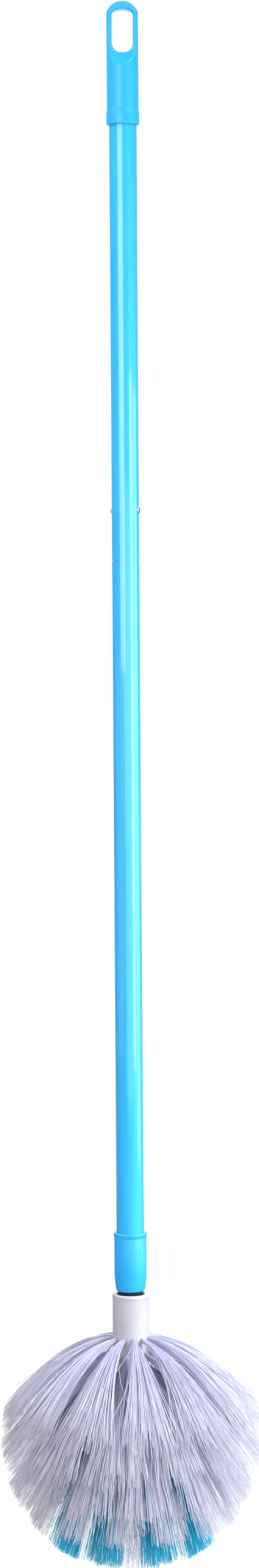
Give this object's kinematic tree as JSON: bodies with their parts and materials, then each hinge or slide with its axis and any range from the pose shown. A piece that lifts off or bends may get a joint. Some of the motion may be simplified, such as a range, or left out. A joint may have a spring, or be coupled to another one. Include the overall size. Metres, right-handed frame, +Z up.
{
  "type": "cobweb brush",
  "caption": "Long-handled cobweb brush: a jointed tube pole with a slotted hanging cap, and a screw-on hub with tufts fanned into a ball.",
  "frame": {"origin": "on the pole's axis, at the top of the hanging slot, where a hook bears", "axes": "+Z up along the pole towards the hanging loop, +Y through the hanging slot from front to back, +X to the right as seen from the front"},
  "size_m": [0.2036, 0.2036, 1.2572],
  "materials": {
    "blue_cap": "glossy moulded polypropylene",
    "blue_film": "glossy coloured film shrunk on the tube",
    "tube_steel": "thin rolled and welded steel tube",
    "spring_steel": "hardened strip",
    "button_steel": "nickel plated and polished",
    "black_plastic": "moulded polypropylene",
    "white_plastic": "glossy moulded polypropylene",
    "bristle_white": "crimped filament with flagged tips",
    "bristle_blue": "crimped filament with flagged tips",
    "staple_wire": "flat galvanised wire"
  },
  "bodies": {
    "upper_pole": {"hang_cap": "blue_cap", "upper_tube": "tube_steel", "upper_film": "blue_film"},
    "lower_pole": {"lower_tube": "tube_steel", "lower_film": "blue_film", "spigot": "tube_steel", "snap_spring": "spring_steel", "thread_sleeve": "blue_cap", "thread_insert": "black_plastic"},
    "left_snap": {"left_button": "button_steel"},
    "right_snap": {"right_button": "button_steel"},
    "brush_head": {"brush_hub": "white_plastic", "tuft_staples": "staple_wire", "tuft_row_1": "bristle_white", "tuft_row_2": "bristle_white", "tuft_row_3": "bristle_white", "tuft_row_4": "bristle_white", "tuft_row_5": "bristle_blue", "end_tuft": "bristle_white"}
  },
  "joints": [
    {"name": "pole_pull", "type": "slide", "parent": "upper_pole", "child": "lower_pole", "axis": [0, 0, 1], "range_m": [-0.27, 0]},
    {"name": "left_button_press", "type": "slide", "parent": "lower_pole", "child": "left_snap", "axis": [0.9659, -0.2588, 0], "range_m": [0, 0.0021], "stiffness_N_per_m": 1500, "springref_m": -0.001, "deforming": ["snap_spring"]},
    {"name": "right_button_press", "type": "slide", "parent": "lower_pole", "child": "right_snap", "axis": [-0.9659, 0.2588, 0], "range_m": [0, 0.0021], "stiffness_N_per_m": 1500, "springref_m": -0.001, "deforming": ["snap_spring"]},
    {"name": "head_unscrew", "type": "slide", "parent": "lower_pole", "child": "brush_head", "axis": [0, 0, 1], "range_m": [-0.06, 0]}
  ]
}
